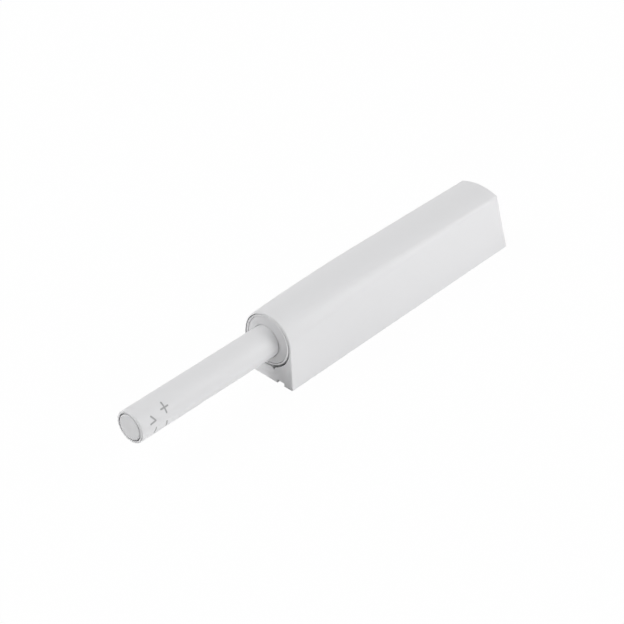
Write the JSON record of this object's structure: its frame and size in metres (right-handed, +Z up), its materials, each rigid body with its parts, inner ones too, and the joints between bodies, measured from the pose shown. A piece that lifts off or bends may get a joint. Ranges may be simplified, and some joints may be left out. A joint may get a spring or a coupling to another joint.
{
  "type": "push to open catch",
  "caption": "Sprung push to open catch: a round ejector with a soft bumper slides out of a straight adapter housing that clips over a screw-on plate",
  "frame": {"origin": "on the mounting plane, midway between the two screw holes", "axes": "+X along the ejector, the way it comes out; +Z up from the mounting plane; +Y to the left when looking along +X"},
  "size_m": [0.1147, 0.0146, 0.016],
  "materials": {
    "white_plastic": "white acetal, fine satin moulding",
    "white_plastic_matt": "white moulded plastic",
    "pale_grey_plastic": "pale grey acetal",
    "grey_plastic": "grey acetal",
    "stop_rubber": "soft elastomer",
    "soft_bumper": "pale grey soft elastomer",
    "steel": "bright steel",
    "spring_steel": "drawn spring steel"
  },
  "bodies": {
    "housing": {"adapter_housing": "white_plastic", "mounting_plate": "white_plastic_matt", "barrel": "white_plastic", "guide_bush": "pale_grey_plastic", "end_stop_ring": "stop_rubber", "rear_cap": "grey_plastic", "follower_pin_1": "steel", "follower_pin_2": "steel", "rear_washer": "steel", "ejector_spring": "spring_steel"},
    "ram": {"ram": "grey_plastic", "cam_retainer": "grey_plastic", "front_washer": "steel", "retaining_clip": "spring_steel", "friction_washer": "grey_plastic"},
    "cam": {"cam_sleeve": "grey_plastic"},
    "detent": {"detent_ring": "grey_plastic"},
    "tip": {"ejector_tip": "white_plastic", "bumper": "soft_bumper"}
  },
  "joints": [
    {"name": "eject_slide", "type": "slide", "parent": "housing", "child": "ram", "axis": [-1, 0, 0], "range_m": [0, 0.038], "stiffness_N_per_m": 150, "springref_m": -0.03, "deforming": ["ejector_spring"]},
    {"name": "cam_turn", "type": "hinge", "parent": "ram", "child": "cam", "pos_m": [0.024, 0, 0.0094], "axis": [1, 0, 0], "range_deg": [0, 60]},
    {"name": "adjust_slide", "type": "slide", "parent": "ram", "child": "detent", "axis": [1, 0, 0], "range_m": [0, 0.004]},
    {"name": "tip_turn", "type": "hinge", "parent": "detent", "child": "tip", "pos_m": [0.055, 0, 0.0094], "axis": [1, 0, 0], "range_deg": [0, 180]}
  ],
  "couplings": [
    {"joint": "tip_turn", "follows": "adjust_slide", "rad_per_m": 785.39}
  ]
}
